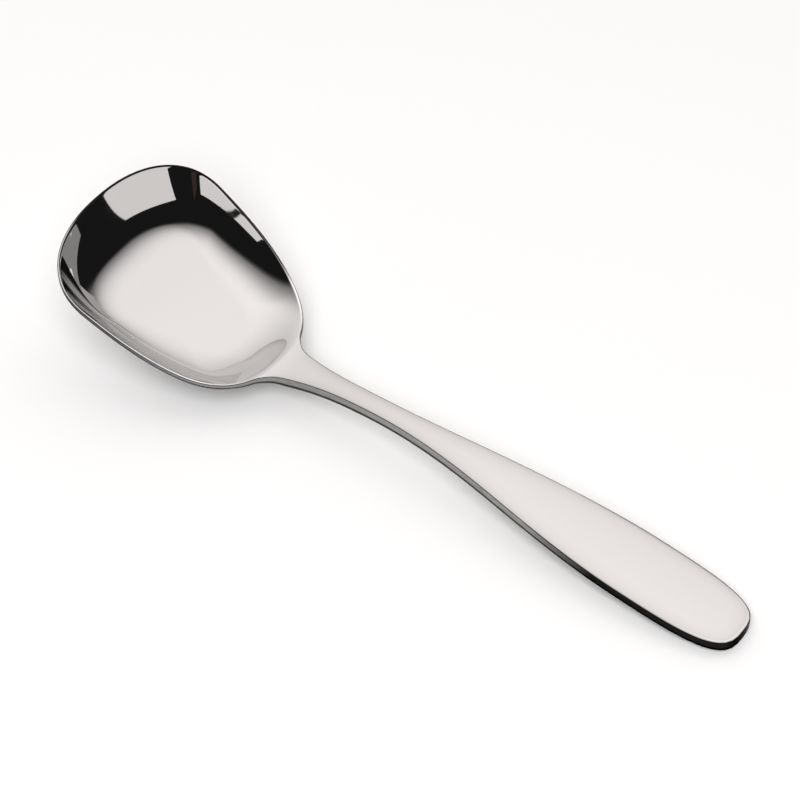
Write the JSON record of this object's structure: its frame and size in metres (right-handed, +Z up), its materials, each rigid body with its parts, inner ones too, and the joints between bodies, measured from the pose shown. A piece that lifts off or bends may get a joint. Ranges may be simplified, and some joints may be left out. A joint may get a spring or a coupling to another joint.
{
  "type": "dinner spoon",
  "caption": "Polished steel spoon with a wide square-cornered, flat-floored bowl and a flat arched handle that broadens to a rounded end; for serving and eating.",
  "frame": {"origin": "on the table, under the middle of the spoon's box", "axes": "+X along the spoon from the bowl's tip to the handle's end, +Y across it, +Z up from the table that it lies on"},
  "size_m": [0.1996, 0.0566, 0.0337],
  "materials": {
    "polished_steel": "polished"
  },
  "bodies": {
    "root": {"bowl": "polished_steel", "handle": "polished_steel"}
  },
  "joints": []
}
